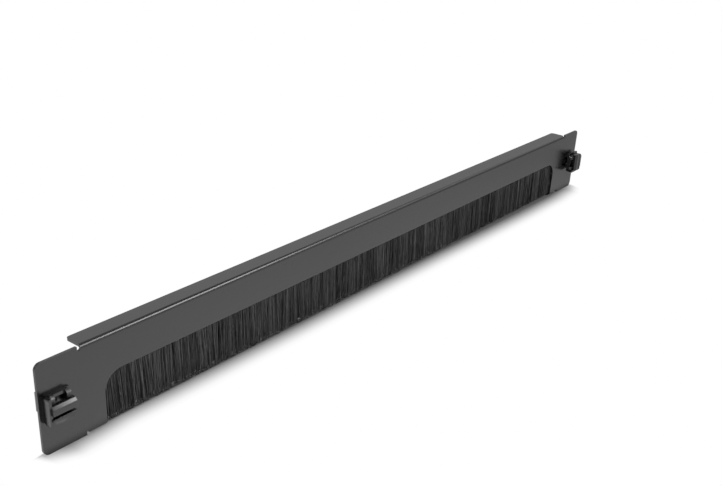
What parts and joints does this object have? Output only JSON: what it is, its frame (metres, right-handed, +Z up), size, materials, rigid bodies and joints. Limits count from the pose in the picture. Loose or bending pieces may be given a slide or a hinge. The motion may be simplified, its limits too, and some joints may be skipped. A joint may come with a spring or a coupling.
{
  "type": "rack brush strip panel",
  "caption": "Folded sheet panel one rack unit high with a bottom cable opening closed by a strip brush, held to the rack by snap-in plastic clips.",
  "frame": {"origin": "midway between the two clip holes, on the plane where the ears' rear faces meet the rack rails", "axes": "+X along the panel, +Z up, +Y into the rack, so the panel faces -Y"},
  "size_m": [0.482, 0.0183, 0.044],
  "materials": {
    "powder_coat": "black satin powder coat",
    "plated_steel": "zinc plated",
    "zinc_sheet": "galvanised sheet",
    "wire_steel": "drawn wire",
    "bristle_nylon": "black nylon filaments",
    "clip_plastic": "black moulded plastic"
  },
  "bodies": {
    "root": {"face_panel": "powder_coat", "rail_studs": "plated_steel", "clamp_rail": "zinc_sheet", "rail_washers": "plated_steel", "rail_nuts": "plated_steel", "brush_channel": "zinc_sheet", "brush_core_wire": "wire_steel", "brush_bristles": "bristle_nylon", "clip_left": "clip_plastic", "clip_right": "clip_plastic"}
  },
  "joints": []
}
